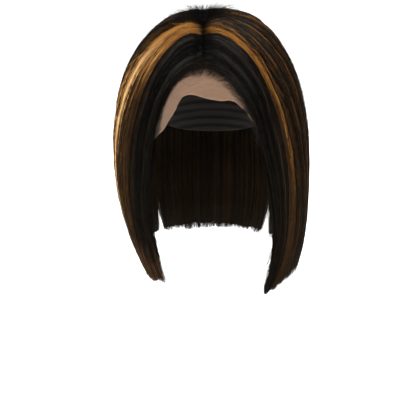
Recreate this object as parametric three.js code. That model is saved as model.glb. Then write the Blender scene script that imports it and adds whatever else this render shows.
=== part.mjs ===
// Lace front wig: a straight, off-centre parted bob on a lace front and a stretch cap.
// Millimetres, +Z up, its front towards -Y. The origin is the crown inside the cap, where it sits when worn.
// Left and right are those of a viewer who faces the wig: left is -X.
import * as THREE from "three";

// Inside of the cap: about 547 mm round its widest level, and narrower towards the nape
const CAP_HALF_WIDTH = 76;
const CAP_HALF_DEPTH = 97;
const CROWN_HEIGHT = 95; // from the widest level up to the crown
const NAPE_REACH = 150; // how slowly it narrows below the widest level
const WIDEST_Z = -CROWN_HEIGHT;

// Cap and lace
const LACE_WALL = 1.0;
const CAP_WALL = 1.2;
const SEAM_GAP = 0.3; // between the lace front and the cap, along the seam from ear to ear
const RINGS = 9; // facets from the crown down to the rim

// Hair
const PART_X = -10; // the parting lies off centre
const PARTING_WIDTH = 1.6;
const PART_DIP = 8; // how far the hair lies lower along the parting than on either side of it
const DIP_REACH = 0.2; // share of the way from the parting to the widest place
const HAIR_CLEARANCE = 1.5; // from the cap up to the hair's underside, at its corners
const LEAST_HAIR = 3; // thickness where the hair lies flattest, along the hairline
const LOCK_RIDGE = 2.4; // height of a lock over the grooves beside it
const LOCK_POINT = 9; // how far a lock's tip hangs below the grooves beside it
const UNEVEN_TIPS = 6; // spread of the lengths of the locks
const FACETS_PER_LOCK = 4;
const NODE_GAP = 0.012; // between neighbouring pieces of hair, in rows of the section tables
const DOME_ROWS = 8; // facets from the parting to the widest place
const HANGING_ROWS = 5; // facets from the widest place down to the tips
const DOME_SHARE = DOME_ROWS / (DOME_ROWS + HANGING_ROWS);
const TIP_BEND = { left: 2, right: 3 }; // how late the hair turns in towards its tips
const SPLIT_FROM = 0.74; // where the side and the back begin to part, along a lock
const THIN_EDGE = 0.25; // share of the thickness that is left at the front edges
const THIN_REACH = { left: 0.9, right: 1.5 }; // how far that edge reaches, in rows of the section tables

// Thickness of the hair along a lock, from the parting (0) to its tip (1). Over the cap it reaches the cap.
const THICKNESS = [
  { along: 0, thick: 40 },
  { along: 0.5, thick: 30 },
  { along: 0.8, thick: 17 },
  { along: 1, thick: 5 },
];

// Lines of hair on each side, from the front round to the middle of the back. A line leaves the parting
// at part_y, stands lift over the cap there, bulges by its fullness to its widest place, edge, and falls
// to its tip, hem. Behind the honey-coloured locks the lines fan out from the parting's end.
const LEFT_SECTIONS = [
  { part_y: -74, lift: 4, fullness: 2.2, edge: [-70, -74, -180], hem: [-52, -80, -275] },
  { part_y: -32, lift: 6, fullness: 2, edge: [-91, -64, -160], hem: [-68, -62, -276] },
  { part_y: -25, lift: 8, fullness: 2, edge: [-103, -40, -148], hem: [-74, -37, -276] },
  { part_y: -19.5, lift: 9.5, fullness: 2.05, edge: [-108, -12, -142], hem: [-80, -9, -276] },
  { part_y: -16, lift: 12, fullness: 2.22, edge: [-108, 25, -146], hem: [-82, 24, -276] },
  { part_y: -13.5, lift: 13, fullness: 2.3, edge: [-86, 77, -148], hem: [-70, 70, -278] },
  { part_y: -12, lift: 13, fullness: 2.3, edge: [-42, 106, -145], hem: [-36, 96, -279] },
  { part_y: -11.5, lift: 13, fullness: 2.3, edge: [0, 113, -140], hem: [0, 103, -280] },
];
const RIGHT_SECTIONS = [
  { part_y: -74, lift: 4, fullness: 1.6, edge: [69, -78, -198], hem: [57, -84, -286] },
  { part_y: -31, lift: 5, fullness: 2, edge: [83, -70, -182], hem: [63, -72, -287] },
  { part_y: -19, lift: 11, fullness: 1.9, edge: [96, -56, -178], hem: [75, -54, -287] },
  { part_y: -16, lift: 12.5, fullness: 2.25, edge: [103, -26, -174], hem: [89, -27, -287] },
  { part_y: -14, lift: 13, fullness: 2.55, edge: [107, 16, -176], hem: [99, 16, -285] },
  { part_y: -12.7, lift: 13.2, fullness: 2.65, edge: [86, 77, -157], hem: [76, 72, -283] },
  { part_y: -11.9, lift: 13.2, fullness: 2.5, edge: [42, 106, -145], hem: [37, 97, -281] },
  { part_y: -11.5, lift: 13, fullness: 2.3, edge: [0, 113, -140], hem: [0, 103, -280] },
];
const SECTION_STEPS = LEFT_SECTIONS.length - 1;

// Pieces of hair: each runs between two places on its side, counted in rows of the table above, and its tips
// hang between two others, because the hair parts there between the side and the back
const HAIR_PIECES = [
  { name: "hair_front_left", side: "left", root: [0, 1], tip: [0, 1], locks: 3, tone: "black" },
  { name: "highlight_left", side: "left", root: [1, 3], tip: [1, 3], locks: 5, tone: "honey" },
  { name: "hair_side_left", side: "left", root: [3, 5.25], tip: [3, 5.12], locks: 6, tone: "brown" },
  { name: "hair_back_left", side: "left", root: [5.25, 7], tip: [5.5, 7], locks: 5, tone: "brown" },
  { name: "hair_front_right", side: "right", root: [0, 1], tip: [0, 1], locks: 2, tone: "black" },
  { name: "highlight_right", side: "right", root: [1, 2], tip: [1, 2], locks: 3, tone: "honey" },
  { name: "hair_side_right", side: "right", root: [2, 5.25], tip: [2, 5.12], locks: 10, tone: "brown" },
  { name: "hair_back_right", side: "right", root: [5.25, 7], tip: [5.58, 7], locks: 5, tone: "brown" },
];

// Rims, by the angle from straight ahead towards the right, in degrees. The lace is cut by hand in front.
const LACE_RIM = [
  { angle: -90, z: -106 },
  { angle: -70, z: -131 },
  { angle: -52, z: -119 },
  { angle: -35, z: -97 },
  { angle: -29, z: -82.5 },
  { angle: -25, z: -72 },
  { angle: -22.5, z: -61 },
  { angle: -18.5, z: -57 },
  { angle: -13.5, z: -55.6 },
  { angle: -4, z: -58.7 },
  { angle: 7, z: -61.4 },
  { angle: 10.5, z: -60.6 },
  { angle: 15, z: -63 },
  { angle: 22.5, z: -75 },
  { angle: 26.5, z: -86 },
  { angle: 34, z: -101 },
  { angle: 52, z: -119 },
  { angle: 70, z: -131 },
  { angle: 90, z: -106 },
];
const CAP_RIM = [
  { angle: 90, z: -106 },
  { angle: 110, z: -108 },
  { angle: 132, z: -128 },
  { angle: 156, z: -147 },
  { angle: 180, z: -152 },
  { angle: 204, z: -147 },
  { angle: 228, z: -128 },
  { angle: 250, z: -108 },
  { angle: 270, z: -106 },
];
const LACE_FACETS = 45;
const CAP_FACETS = 26;

const MATERIALS = {
  lace: new THREE.MeshStandardMaterial({ color: 0xa98c72, roughness: 0.9, metalness: 0 }),
  cap: new THREE.MeshStandardMaterial({ color: 0x17130f, roughness: 0.95, metalness: 0 }),
  black: new THREE.MeshStandardMaterial({ color: 0x171310, roughness: 0.45, metalness: 0 }),
  brown: new THREE.MeshStandardMaterial({ color: 0x2a1f15, roughness: 0.45, metalness: 0 }),
  honey: new THREE.MeshStandardMaterial({ color: 0xa8703a, roughness: 0.45, metalness: 0 }),
};

// Value of a column of a table at x, on straight lines between its rows
function lookUp(table, xColumn, yColumn, x) {
  const next = Math.max(1, table.findIndex((row) => row[xColumn] >= x));
  const [a, b] = [table[next - 1], table[next]];
  return THREE.MathUtils.mapLinear(x, a[xColumn], b[xColumn], a[yColumn], b[yColumn]);
}

// Form of the cap's inside, grown outwards by grow: 1 on its surface, less within it
function capForm(p, grow) {
  const reach = p.z > WIDEST_Z ? CROWN_HEIGHT : NAPE_REACH;
  return Math.hypot(
    p.x / (CAP_HALF_WIDTH + grow),
    p.y / (CAP_HALF_DEPTH + grow),
    (p.z - WIDEST_Z) / (reach + grow),
  );
}

// A point within the grown form goes out to its surface, away from the cap's centre
function pushedOut(p, grow) {
  const inside = Math.min(1, capForm(p, grow));
  return new THREE.Vector3(p.x / inside, p.y / inside, WIDEST_Z + (p.z - WIDEST_Z) / inside);
}

// Direction away from the cap: from its centre above the widest level, and level below it
function outward(p) {
  return new THREE.Vector3(p.x, p.y, Math.max(0, p.z - WIDEST_Z)).normalize();
}

// Point on the grown form at an angle from straight ahead and a height
function onCapForm(angle, z, grow) {
  const reach = (z > WIDEST_Z ? CROWN_HEIGHT : NAPE_REACH) + grow;
  const radius = Math.sqrt(Math.max(0, 1 - ((z - WIDEST_Z) / reach) ** 2));
  // The plan is an ellipse, and the angle is the one seen from above
  const toEllipse = 1 / Math.hypot(
    Math.sin(angle) / (CAP_HALF_WIDTH + grow),
    Math.cos(angle) / (CAP_HALF_DEPTH + grow),
  );
  const r = radius * toEllipse;
  return new THREE.Vector3(r * Math.sin(angle), -r * Math.cos(angle), z);
}

// Closed wall between two grids of points of the same size, [column][row]
function wallBetween(outer, inner) {
  const columns = outer.length;
  const rows = outer[0].length;
  const positions = [...outer.flat(), ...inner.flat()].flatMap((p) => p.toArray());
  const at = (face, column, row) => (face * columns + column) * rows + row;
  const index = [];
  const quad = (a, b, c, d) => index.push(a, b, c, a, c, d);
  for (let i = 0; i < columns - 1; i++) {
    for (let j = 0; j < rows - 1; j++) {
      quad(at(0, i, j), at(0, i + 1, j), at(0, i + 1, j + 1), at(0, i, j + 1));
      quad(at(1, i, j), at(1, i, j + 1), at(1, i + 1, j + 1), at(1, i + 1, j));
    }
    quad(at(0, i, 0), at(1, i, 0), at(1, i + 1, 0), at(0, i + 1, 0));
    quad(at(0, i, rows - 1), at(0, i + 1, rows - 1), at(1, i + 1, rows - 1), at(1, i, rows - 1));
  }
  for (let j = 0; j < rows - 1; j++) {
    quad(at(0, 0, j), at(0, 0, j + 1), at(1, 0, j + 1), at(1, 0, j));
    const last = columns - 1;
    quad(at(0, last, j), at(1, last, j), at(1, last, j + 1), at(0, last, j + 1));
  }
  const geometry = new THREE.BufferGeometry();
  geometry.setAttribute("position", new THREE.Float32BufferAttribute(positions, 3));
  geometry.setIndex(signedVolume(positions, index) < 0 ? index.reverse() : index);
  geometry.computeVertexNormals();
  return geometry;
}

function signedVolume(positions, index) {
  const corner = (i) => new THREE.Vector3().fromArray(positions, 3 * i);
  let sixfold = 0;
  for (let i = 0; i < index.length; i += 3) {
    sixfold += corner(index[i]).dot(corner(index[i + 1]).cross(corner(index[i + 2])));
  }
  return sixfold / 6;
}

// Part of the cap, from the crown down to a rim
function capShell(rim, facets, wall) {
  const first = rim[0].angle;
  const last = rim[rim.length - 1].angle;
  const face = (grow) =>
    Array.from({ length: facets + 1 }, (_, i) => {
      const degrees = THREE.MathUtils.lerp(first, last, i / facets);
      const rimZ = lookUp(rim, "angle", "z", degrees);
      const rimSlope = Math.acos((rimZ - WIDEST_Z) / (rimZ > WIDEST_Z ? CROWN_HEIGHT : NAPE_REACH));
      return Array.from({ length: RINGS + 1 }, (_, j) => {
        const slope = (rimSlope * j) / RINGS;
        const reach = (slope < Math.PI / 2 ? CROWN_HEIGHT : NAPE_REACH) + grow;
        return onCapForm(THREE.MathUtils.degToRad(degrees), WIDEST_Z + reach * Math.cos(slope), grow);
      });
    });
  return wallBetween(face(wall), face(0));
}

// Curves through the rows of a section table, for reading it between its rows
function sectionCurves(sections) {
  const through = (read) =>
    new THREE.CatmullRomCurve3(sections.map((s) => new THREE.Vector3(...read(s))), false, "catmullrom");
  return {
    root: through((s) => [s.part_y, s.lift, s.fullness]),
    edge: through((s) => s.edge),
    hem: through((s) => s.hem),
  };
}
const CURVES = { left: sectionCurves(LEFT_SECTIONS), right: sectionCurves(RIGHT_SECTIONS) };

// Outer line of the hair at a place on its side, as a function of the way along it. tipRise shortens its tip.
function hairLine(side, place, tipRise) {
  const share = place / SECTION_STEPS;
  const { x: partY, y: lift, z: fullness } = CURVES[side].root.getPoint(share);
  const edge = CURVES[side].edge.getPoint(share);
  const hem = CURVES[side].hem.getPoint(share);
  const partX = PART_X + (side === "left" ? -1 : 1) * (PARTING_WIDTH / 2);
  const dome = Math.sqrt(1 - (partX / CAP_HALF_WIDTH) ** 2 - (partY / CAP_HALF_DEPTH) ** 2);
  const root = new THREE.Vector3(partX, partY, WIDEST_Z + CROWN_HEIGHT * dome + CAP_WALL + lift);
  const dip = Math.min(PART_DIP, lift - LEAST_HAIR);
  return (along) => {
    if (along > DOME_SHARE) {
      const fallen = (along - DOME_SHARE) / (1 - DOME_SHARE);
      const p = edge.clone().lerp(hem, fallen ** TIP_BEND[side]);
      p.z = THREE.MathUtils.lerp(edge.z, hem.z + tipRise, fallen);
      return p;
    }
    const turn = ((along / DOME_SHARE) * Math.PI) / 2;
    const swell = (Math.sin(turn) ** fullness + Math.cos(turn) ** fullness) ** (-1 / fullness);
    const out = swell * Math.sin(turn);
    const p = root.clone().lerp(edge, out);
    p.z = THREE.MathUtils.lerp(edge.z, root.z, swell * Math.cos(turn));
    p.z -= dip * Math.max(0, 1 - out / DIP_REACH) ** 2;
    return pushedOut(p, CAP_WALL + HAIR_CLEARANCE + LEAST_HAIR);
  };
}

// Thickness of the hair at a place and a way along it: less at the front edges
function hairThickness(side, place, along) {
  const share = THREE.MathUtils.smoothstep(place, 0, THIN_REACH[side]);
  return lookUp(THICKNESS, "along", "thick", along) * THREE.MathUtils.lerp(THIN_EDGE, 1, share);
}

// One piece of hair: locks side by side, fused into a wall that lies on the cap and hangs below it
function hairPiece({ side, root, tip, locks }) {
  const columns = locks * FACETS_PER_LOCK;
  const rows = DOME_ROWS + HANGING_ROWS;
  const outer = [];
  const inner = [];
  for (let i = 0; i <= columns; i++) {
    const lock = Math.floor(i / FACETS_PER_LOCK);
    const bulge = Math.sin(((i % FACETS_PER_LOCK) / FACETS_PER_LOCK) * Math.PI);
    const uneven = 0.5 + 0.5 * Math.sin(2.4 * (lock + 7 * root[0])); // a fixed scatter of lengths
    const tipRise = (1 - bulge) * LOCK_POINT + bulge * uneven * UNEVEN_TIPS;
    outer.push([]);
    inner.push([]);
    for (let j = 0; j <= rows; j++) {
      const along = j / rows;
      const split = THREE.MathUtils.smoothstep(along, SPLIT_FROM, 1.2);
      const from = THREE.MathUtils.lerp(root[0], tip[0], split) + NODE_GAP;
      const to = THREE.MathUtils.lerp(root[1], tip[1], split) - NODE_GAP;
      const place = THREE.MathUtils.lerp(from, to, i / columns);
      const p = hairLine(side, place, tipRise)(along);
      const out = outward(p);
      const ridge = (bulge - 0.5) * LOCK_RIDGE * Math.min(1, 3 * along);
      const under = p.clone().addScaledVector(out, -hairThickness(side, place, along));
      outer[i].push(p.addScaledVector(out, ridge));
      inner[i].push(pushedOut(under, CAP_WALL + HAIR_CLEARANCE));
    }
  }
  return wallBetween(outer, inner);
}

function piece(name, geometry, tone, y = 0) {
  const mesh = new THREE.Mesh(geometry, MATERIALS[tone]);
  mesh.name = name;
  mesh.position.y = y;
  return mesh;
}

const wig = new THREE.Group();
wig.add(piece("lace_front", capShell(LACE_RIM, LACE_FACETS, LACE_WALL), "lace", -SEAM_GAP / 2));
wig.add(piece("wig_cap", capShell(CAP_RIM, CAP_FACETS, CAP_WALL), "cap", SEAM_GAP / 2));
for (const made of HAIR_PIECES) {
  wig.add(piece(made.name, hairPiece(made), made.tone));
}

export default wig;
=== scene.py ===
"""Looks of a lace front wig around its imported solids: strands of hair, a lace net and a knitted cap.

Shapes are worked out in millimetres, in the frame of the solids, and become metres when a mesh is made.
Left and right are those of a viewer who faces the wig: left is -X, and the front is -Y.
"""

import math
from collections import namedtuple

import bpy
import numpy as np
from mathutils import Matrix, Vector


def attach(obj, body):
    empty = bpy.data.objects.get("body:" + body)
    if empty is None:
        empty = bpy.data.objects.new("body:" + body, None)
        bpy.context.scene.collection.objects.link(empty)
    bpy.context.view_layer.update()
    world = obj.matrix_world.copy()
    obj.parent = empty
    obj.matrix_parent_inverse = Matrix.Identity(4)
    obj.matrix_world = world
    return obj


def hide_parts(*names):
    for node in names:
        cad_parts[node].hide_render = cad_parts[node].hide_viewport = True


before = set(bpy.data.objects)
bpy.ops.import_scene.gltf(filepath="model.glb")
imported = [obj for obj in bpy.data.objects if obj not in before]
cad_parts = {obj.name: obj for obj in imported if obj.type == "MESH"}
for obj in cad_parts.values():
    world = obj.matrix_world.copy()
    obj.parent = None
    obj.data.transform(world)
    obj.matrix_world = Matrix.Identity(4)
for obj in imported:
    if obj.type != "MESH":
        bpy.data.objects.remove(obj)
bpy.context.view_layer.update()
MM = 0.001
SEED = 20

# Form of the wig, as in its solids
CAP_HALF_WIDTH, CAP_HALF_DEPTH, CROWN_HEIGHT, NAPE_REACH = 76, 97, 95, 150
WIDEST_Z = -CROWN_HEIGHT
LACE_WALL, CAP_WALL, HAIR_CLEARANCE, LEAST_HAIR = 1.0, 1.2, 1.5, 3
PART_X, PARTING_WIDTH, PART_DIP, DIP_REACH = -10, 0.7, 8, 0.2
DOME_SHARE = 8 / 13
TIP_BEND = {"left": 2, "right": 3}
SPLIT_FROM, SPLIT_TO = 0.74, 1.2
THIN_EDGE = 0.25
THIN_REACH = {"left": 0.9, "right": 1.5}
THICK_ALONG, THICKNESS = (0, 0.5, 0.8, 1), (40, 30, 17, 5)

# Lines of hair from the front to the middle of the back: part_y, lift, fullness, edge x y z, hem x y z
SECTIONS = {
    "left": np.array([
        (-74, 4, 2.2, -70, -74, -180, -52, -80, -275),
        (-32, 6, 2, -91, -64, -160, -68, -62, -276),
        (-25, 8, 2, -103, -40, -148, -74, -37, -276),
        (-19.5, 9.5, 2.05, -108, -12, -142, -80, -9, -276),
        (-16, 12, 2.22, -108, 25, -146, -82, 24, -276),
        (-13.5, 13, 2.3, -86, 77, -148, -70, 70, -278),
        (-12, 13, 2.3, -42, 106, -145, -36, 96, -279),
        (-11.5, 13, 2.3, 0, 113, -140, 0, 103, -280),
    ]),
    "right": np.array([
        (-74, 4, 1.6, 69, -78, -198, 57, -84, -286),
        (-31, 5, 2, 83, -70, -182, 63, -72, -287),
        (-19, 11, 1.9, 96, -56, -178, 75, -54, -287),
        (-16, 12.5, 2.25, 103, -26, -174, 89, -27, -287),
        (-14, 13, 2.55, 107, 16, -176, 99, 16, -285),
        (-12.7, 13.2, 2.65, 86, 77, -157, 76, 72, -283),
        (-11.9, 13.2, 2.5, 42, 106, -145, 37, 97, -281),
        (-11.5, 13, 2.3, 0, 113, -140, 0, 103, -280),
    ]),
}
LACE_RIM = np.array([
    (-90, -106), (-70, -131), (-52, -119), (-35, -97), (-29, -82.5), (-25, -72), (-22.5, -61),
    (-18.5, -57), (-13.5, -55.6), (-4, -58.7), (7, -61.4), (10.5, -60.6), (15, -63), (22.5, -75),
    (26.5, -86), (34, -101), (52, -119), (70, -131), (90, -106),
])
CAP_RIM = np.array([
    (90, -106), (110, -108), (132, -128), (156, -147), (180, -152), (204, -147), (228, -128), (250, -108),
    (270, -106),
])


def smoothstep(x, low, high):
    t = np.clip((x - low) / (high - low), 0, 1)
    return t * t * (3 - 2 * t)


def mix(a, b, share):
    return a + (b - a) * share


def form_reach(z, grow):
    return np.where(z > WIDEST_Z, CROWN_HEIGHT, NAPE_REACH) + grow


def pushed_out(p, grow):
    """Points within the cap's form, grown outwards, go out to its surface."""
    x, y, z = np.moveaxis(p, -1, 0)
    inside = np.sqrt(
        (x / (CAP_HALF_WIDTH + grow)) ** 2
        + (y / (CAP_HALF_DEPTH + grow)) ** 2
        + ((z - WIDEST_Z) / form_reach(z, grow)) ** 2
    )
    centre = np.array([0, 0, WIDEST_Z])
    return centre + (p - centre) / np.minimum(1, inside)[..., None]


def outward(p):
    """Away from the cap: from its centre above the widest level, and level below it."""
    d = p - np.array([0, 0, WIDEST_Z])
    d[..., 2] = np.maximum(0, d[..., 2])
    return d / np.linalg.norm(d, axis=-1, keepdims=True)


def section(side, place):
    """Columns of a section table at places between its rows, on Catmull-Rom curves."""
    rows = SECTIONS[side]
    p = np.vstack([2 * rows[0] - rows[1], rows, 2 * rows[-1] - rows[-2]])
    k = np.clip(np.floor(place).astype(int), 0, len(rows) - 2)
    w = (place - k)[..., None]
    before, start, end, after = p[k], p[k + 1], p[k + 2], p[k + 3]
    slope_in, slope_out = (end - before) / 2, (after - start) / 2
    cubic = 2 * start - 2 * end + slope_in + slope_out
    square = -3 * start + 3 * end - 2 * slope_in - slope_out
    return ((cubic * w + square) * w + slope_in) * w + start


def hair_surface(side, place, along, tip_rise=0.0):
    """Outside of the hair at places on a side and ways along, from the parting (0) to the tips (1)."""
    place, along, tip_rise = np.broadcast_arrays(place, along, tip_rise)
    s = section(side, place)
    part_y, lift, fullness, edge, hem = s[..., 0], s[..., 1], s[..., 2], s[..., 3:6], s[..., 6:9]
    part_x = PART_X + (-1 if side == "left" else 1) * PARTING_WIDTH / 2
    dome = np.sqrt(1 - (part_x / CAP_HALF_WIDTH) ** 2 - (part_y / CAP_HALF_DEPTH) ** 2)
    root = np.stack(
        [np.full_like(part_y, part_x), part_y, WIDEST_Z + CROWN_HEIGHT * dome + CAP_WALL + lift], -1
    )
    turn = np.clip(along / DOME_SHARE, 0, 1) * math.pi / 2
    swell = (np.sin(turn) ** fullness + np.cos(turn) ** fullness) ** (-1 / fullness)
    out = swell * np.sin(turn)
    over = mix(root, edge, out[..., None])
    over[..., 2] = mix(edge[..., 2], root[..., 2], swell * np.cos(turn))
    over[..., 2] -= np.minimum(PART_DIP, lift - LEAST_HAIR) * np.maximum(0, 1 - out / DIP_REACH) ** 2
    over = pushed_out(over, CAP_WALL + HAIR_CLEARANCE + LEAST_HAIR)
    fallen = np.clip((along - DOME_SHARE) / (1 - DOME_SHARE), 0, 1)
    down = mix(edge, hem, (fallen ** TIP_BEND[side])[..., None])
    down[..., 2] = mix(edge[..., 2], hem[..., 2] + tip_rise, fallen)
    return np.where((along > DOME_SHARE)[..., None], down, over)


def hair_thickness(side, place, along):
    share = mix(THIN_EDGE, 1, smoothstep(place, 0, THIN_REACH[side]))
    return np.interp(along, THICK_ALONG, THICKNESS) * share


RANK_STEPS = 4000  # values of a random curve that another is ranked among


class Wander:
    """A smooth random curve through values from -1 to 1, a step apart."""

    def __init__(self, rng, step, low=-1.0, high=9.0):
        self.low, self.step = low, step
        self.values = rng.uniform(-1, 1, int((high - low) / step) + 3)

    def __call__(self, x):
        t = np.clip((np.asarray(x) - self.low) / self.step, 0, len(self.values) - 2.001)
        k = t.astype(int)
        w = t - k
        return mix(self.values[k], self.values[k + 1], w * w * (3 - 2 * w))

    def rank(self, x):
        """Where the curve's value at x stands among all its values, from 0 to 1."""
        high = self.low + self.step * (len(self.values) - 2)
        every = np.sort(self(np.linspace(self.low, high, RANK_STEPS)))
        return np.searchsorted(every, self(x)) / len(every)


# Meshes
BAKE_MAP = "OFBake"
TONES = 64  # columns of the hair's colour map: a strand lies in the column of its tone


def new_object(name, verts, faces, uvs=None, smooth=True):
    """A mesh object from corners in millimetres, faces of one size or a list of such, and their uvs."""
    groups = faces if isinstance(faces, list) else [faces]
    corners = np.concatenate([f.ravel() for f in groups]).astype(np.int32)
    sizes = np.concatenate([np.full(len(f), f.shape[1]) for f in groups]).astype(np.int32)
    starts = np.concatenate([[0], np.cumsum(sizes)[:-1]]).astype(np.int32)
    mesh = bpy.data.meshes.new(name)
    mesh.vertices.add(len(verts))
    mesh.vertices.foreach_set("co", (np.asarray(verts) * MM).astype(np.float32).ravel())
    mesh.loops.add(len(corners))
    mesh.loops.foreach_set("vertex_index", corners)
    mesh.polygons.add(len(sizes))
    mesh.polygons.foreach_set("loop_start", starts)
    mesh.polygons.foreach_set("use_smooth", np.full(len(sizes), smooth))
    if uvs is not None:
        layer = mesh.uv_layers.new(name=BAKE_MAP)
        pairs = np.concatenate([u.reshape(-1, 2) for u in uvs])
        layer.uv.foreach_set("vector", pairs.astype(np.float32).ravel())
    mesh.update(calc_edges=True)
    mesh.validate()
    obj = bpy.data.objects.new(name, mesh)
    bpy.context.scene.collection.objects.link(obj)
    return obj


class Fibres:
    """Collects tapered three-sided fibres, and closed walls under them, for one mesh."""

    def __init__(self):
        self.verts, self.quads, self.quad_uvs, self.tris, self.tri_uvs = [], [], [], [], []
        self.count = 0

    def add(self, path, radius, tone, along, flat=0.7):
        """path [n, m, 3], radius and along [n, m], tone [n]."""
        n, m = radius.shape
        tangent = np.gradient(path, axis=1)
        side = np.cross(tangent, outward(path.copy()))
        side /= np.maximum(1e-9, np.linalg.norm(side, axis=-1, keepdims=True))
        normal = np.cross(side, tangent)
        normal /= np.maximum(1e-9, np.linalg.norm(normal, axis=-1, keepdims=True))
        turns = np.radians([90, 210, 330])
        ring = (
            path[:, :, None]
            + radius[:, :, None, None] * np.cos(turns)[:, None] * side[:, :, None]
            + flat * radius[:, :, None, None] * np.sin(turns)[:, None] * normal[:, :, None]
        )
        self.verts.append(ring.reshape(-1, 3))
        at = self.count + np.arange(n * m * 3).reshape(n, m, 3)
        after = np.roll(at, -1, axis=2)
        quads = np.stack([at[:, :-1], after[:, :-1], after[:, 1:], at[:, 1:]], -1)
        self.quads.append(quads.reshape(-1, 4))
        column = np.floor(np.clip(tone, 0, 0.999) * TONES)
        u = (column[:, None] + 0.15 + 0.7 * np.arange(4) / 3) / TONES
        v = np.clip(along, 0.004, 0.996)
        u0 = np.broadcast_to(u[:, None, :3], (n, m - 1, 3))
        u1 = np.broadcast_to(u[:, None, 1:], (n, m - 1, 3))
        v0 = np.broadcast_to(v[:, :-1, None], (n, m - 1, 3))
        v1 = np.broadcast_to(v[:, 1:, None], (n, m - 1, 3))
        round_quad = ((u0, v0), (u1, v0), (u1, v1), (u0, v1))
        uv = np.stack([np.stack(corner, -1) for corner in round_quad], -2)
        self.quad_uvs.append(uv.reshape(-1, 2))
        for end, order in ((0, (0, 2, 1)), (m - 1, (0, 1, 2))):
            self.tris.append(at[:, end][:, order])
            end_v = np.stack([v[:, end], v[:, end], v[:, end] + 0.003], -1)
            ends = np.stack([u[:, [0, 2, 1]], end_v], -1)
            self.tri_uvs.append(ends.reshape(-1, 2))
        self.count += n * m * 3

    def add_wall(self, outer, inner, tone, along):
        """A closed wall between two grids [columns, rows, 3]."""
        c, r = outer.shape[:2]
        at = self.count + np.arange(2 * c * r).reshape(2, c, r)
        self.verts.append(np.concatenate([outer.reshape(-1, 3), inner.reshape(-1, 3)]))
        o, i = at
        u0, u1 = (np.floor(tone * TONES) + np.array([0.1, 0.9])) / TONES

        def strip(a, b, va, vb):
            """Quads between two runs of corners of the same length."""
            self.quads.append(np.stack([a[:-1], b[:-1], b[1:], a[1:]], -1).reshape(-1, 4))
            n = len(a) - 1
            va, vb = np.broadcast_to(va, len(a)), np.broadcast_to(vb, len(a))
            uv = np.stack([
                np.stack([np.full(n, u0), va[:-1]], -1), np.stack([np.full(n, u1), vb[:-1]], -1),
                np.stack([np.full(n, u1), vb[1:]], -1), np.stack([np.full(n, u0), va[1:]], -1),
            ], 1)
            self.quad_uvs.append(uv.reshape(-1, 2))

        for k in range(c - 1):
            strip(o[k], o[k + 1], along, along)
            strip(i[k + 1], i[k], along, along)
        strip(i[0], o[0], along, along)
        strip(o[-1], i[-1], along, along)
        first, last = along[0], along[-1]
        strip(o[:, 0], i[:, 0], first, first + 0.004)
        strip(i[:, -1], o[:, -1], last - 0.004, last)
        self.count += 2 * c * r

    def build(self, name):
        faces = [np.concatenate(self.quads)]
        uvs = [np.concatenate(self.quad_uvs)]
        if self.tris:
            faces.append(np.concatenate(self.tris))
            uvs.append(np.concatenate(self.tri_uvs))
        return new_object(name, np.concatenate(self.verts), faces, uvs)


# Materials
def node(tree, kind, **values):
    n = tree.nodes.new(kind)
    for key, value in values.items():
        if key in n.inputs:
            n.inputs[key].default_value = value
        else:
            setattr(n, key, value)
    return n


def ramp(tree, stops):
    n = tree.nodes.new("ShaderNodeValToRGB")
    n.color_ramp.elements[0].position, n.color_ramp.elements[1].position = stops[0][0], stops[-1][0]
    for position, _ in stops[1:-1]:
        n.color_ramp.elements.new(position)
    for element, (_, colour) in zip(n.color_ramp.elements, stops):
        element.color = (*colour, 1)
    return n


def new_material(name, roughness, specular=0.5, sheen=0.0):
    m = bpy.data.materials.new(name)
    m.use_nodes = True
    shader = m.node_tree.nodes["Principled BSDF"]
    shader.inputs["Roughness"].default_value = roughness
    shader.inputs["Specular IOR Level"].default_value = specular
    shader.inputs["Sheen Weight"].default_value = sheen
    return m, m.node_tree, shader


# Colours of a strand by its tone, from black (0) to light honey (1): near the parting, along it, at its tip
# Near the parting, tones 0.10 to 0.14 are a grey painted sheen on dark hair: glints on the curve of the
# head
NEAR_COLOURS_AND_SHEEN = [
    (0.0, (0.0016, 0.0015, 0.0013)),
    (0.10, (0.0155, 0.0146, 0.0124)),
    (0.14, (0.0330, 0.0308, 0.0256)),
    (0.20, (0.0150, 0.0105, 0.0068)),
    (0.35, (0.040, 0.0200, 0.0074)),
    (0.55, (0.240, 0.097, 0.0175)),
    (0.80, (0.28, 0.120, 0.026)),
    (1.0, (0.31, 0.140, 0.034)),
]
LENGTH_COLOURS = [
    (0.0, (0.0013, 0.0012, 0.0010)),
    (0.10, (0.0050, 0.0042, 0.0032)),
    (0.20, (0.0150, 0.0100, 0.0062)),
    (0.35, (0.040, 0.0215, 0.0090)),
    (0.55, (0.122, 0.048, 0.0078)),
    (0.80, (0.295, 0.122, 0.025)),
    (1.0, (0.70, 0.44, 0.195)),
]
TIP_COLOURS = [
    (0.0, (0.0030, 0.0024, 0.0016)),
    (0.15, (0.0110, 0.0066, 0.0033)),
    (0.35, (0.0205, 0.0106, 0.0043)),
    (0.55, (0.0270, 0.0132, 0.0050)),
    (0.80, (0.0350, 0.0170, 0.0060)),
    (1.0, (0.0550, 0.0285, 0.0105)),
]
# Painted shade at the roots, darkest in the parting: every strand starts from this near black
ROOT_SHADE_COLOUR = (0.0018, 0.0016, 0.0014, 1)
LIGHT_TIP_COLOUR = (0.17, 0.085, 0.045, 1)
# Ranges of the way along a strand over which one of its colours gives way to the next
ROOT_SHADE_FADE, NEAR_FADE, LENGTH_FADE, TIP_FADE = (0.0, 0.045), (0.14, 0.38), (0.42, 0.80), (0.875, 0.99)
LAST_WAY = 0.87  # where a strand's colour ends, unless its tip is light
NOISE_SCALE = (TONES * 2.0, 9, 1)  # cells across all tones and along a strand
NOISE_RANGE, STRAND_SHADES = (0.3, 0.7), (0.72, 1.22)  # a noise, and the change of colour it makes


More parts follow.
